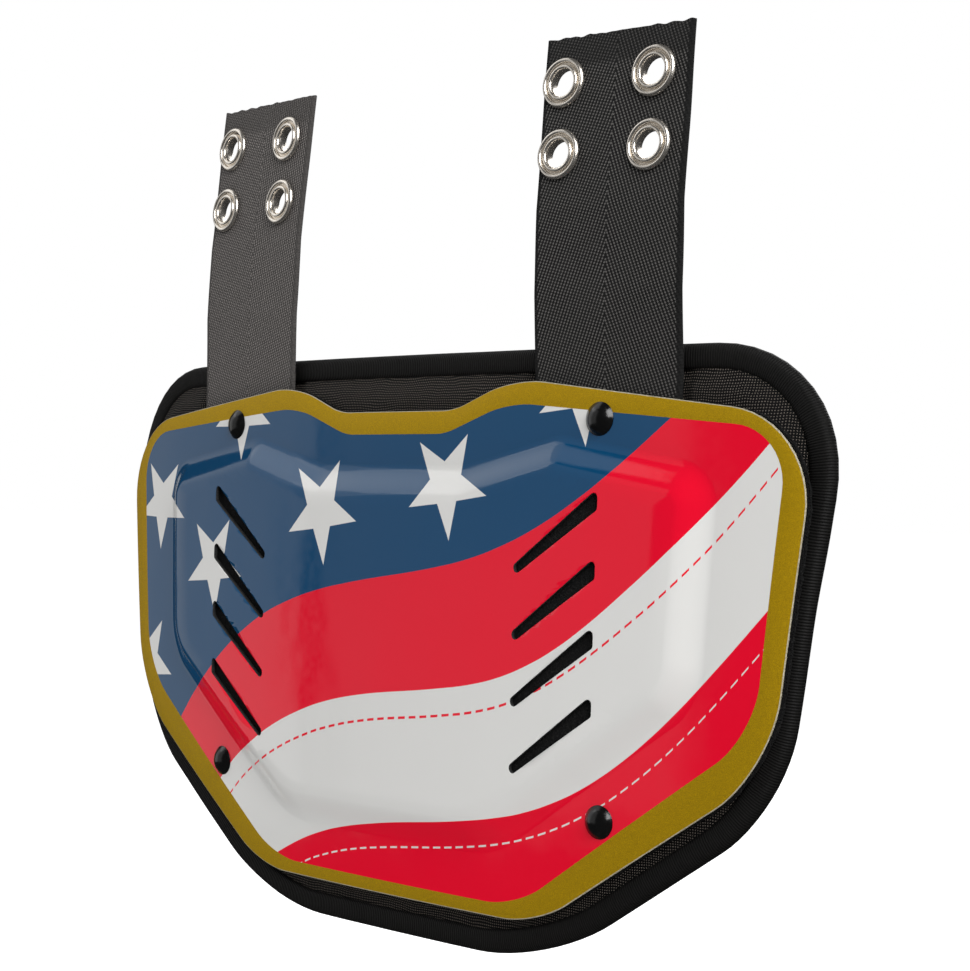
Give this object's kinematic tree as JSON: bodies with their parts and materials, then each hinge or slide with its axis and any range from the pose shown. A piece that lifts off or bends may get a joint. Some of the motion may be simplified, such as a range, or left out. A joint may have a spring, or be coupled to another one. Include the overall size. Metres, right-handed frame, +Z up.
{
  "type": "football back plate",
  "caption": "Moulded back plate riveted to a bound mesh pad, with raised slotted panel and two webbing hanging straps carrying metal eyelets.",
  "frame": {"origin": "the point the part hangs from: midway between the eyelet patterns of the two straps, at the straps' mid thickness", "axes": "+X to the right as the printed face is seen, +Z up along the straps, the printed face looks along -Y and the wearer's back is on the +Y side"},
  "size_m": [0.2982, 0.0273, 0.2643],
  "materials": {
    "print": "glossy printed sheet: gold border, blue, red and white waving bands",
    "foam": "matt closed-cell foam sheet",
    "mesh": "black diamond mesh cloth over foam",
    "tape": "ribbed black binding tape",
    "webbing": "woven black webbing with grey flecks",
    "nickel": "polished warm nickel",
    "rivet_black": "glossy black lacquer"
  },
  "bodies": {
    "root": {"plate": "print", "plate_foam": "foam", "back_pad": "mesh", "edge_tape": "tape", "strap_left": "webbing", "eyelet_left_upper_left": "nickel", "eyelet_left_upper_right": "nickel", "eyelet_left_lower_left": "nickel", "eyelet_left_lower_right": "nickel", "strap_right": "webbing", "eyelet_right_upper_left": "nickel", "eyelet_right_upper_right": "nickel", "eyelet_right_lower_left": "nickel", "eyelet_right_lower_right": "nickel", "rivet_upper_left": "rivet_black", "rivet_upper_right": "rivet_black", "rivet_lower_left": "rivet_black", "rivet_lower_right": "rivet_black"}
  },
  "joints": []
}
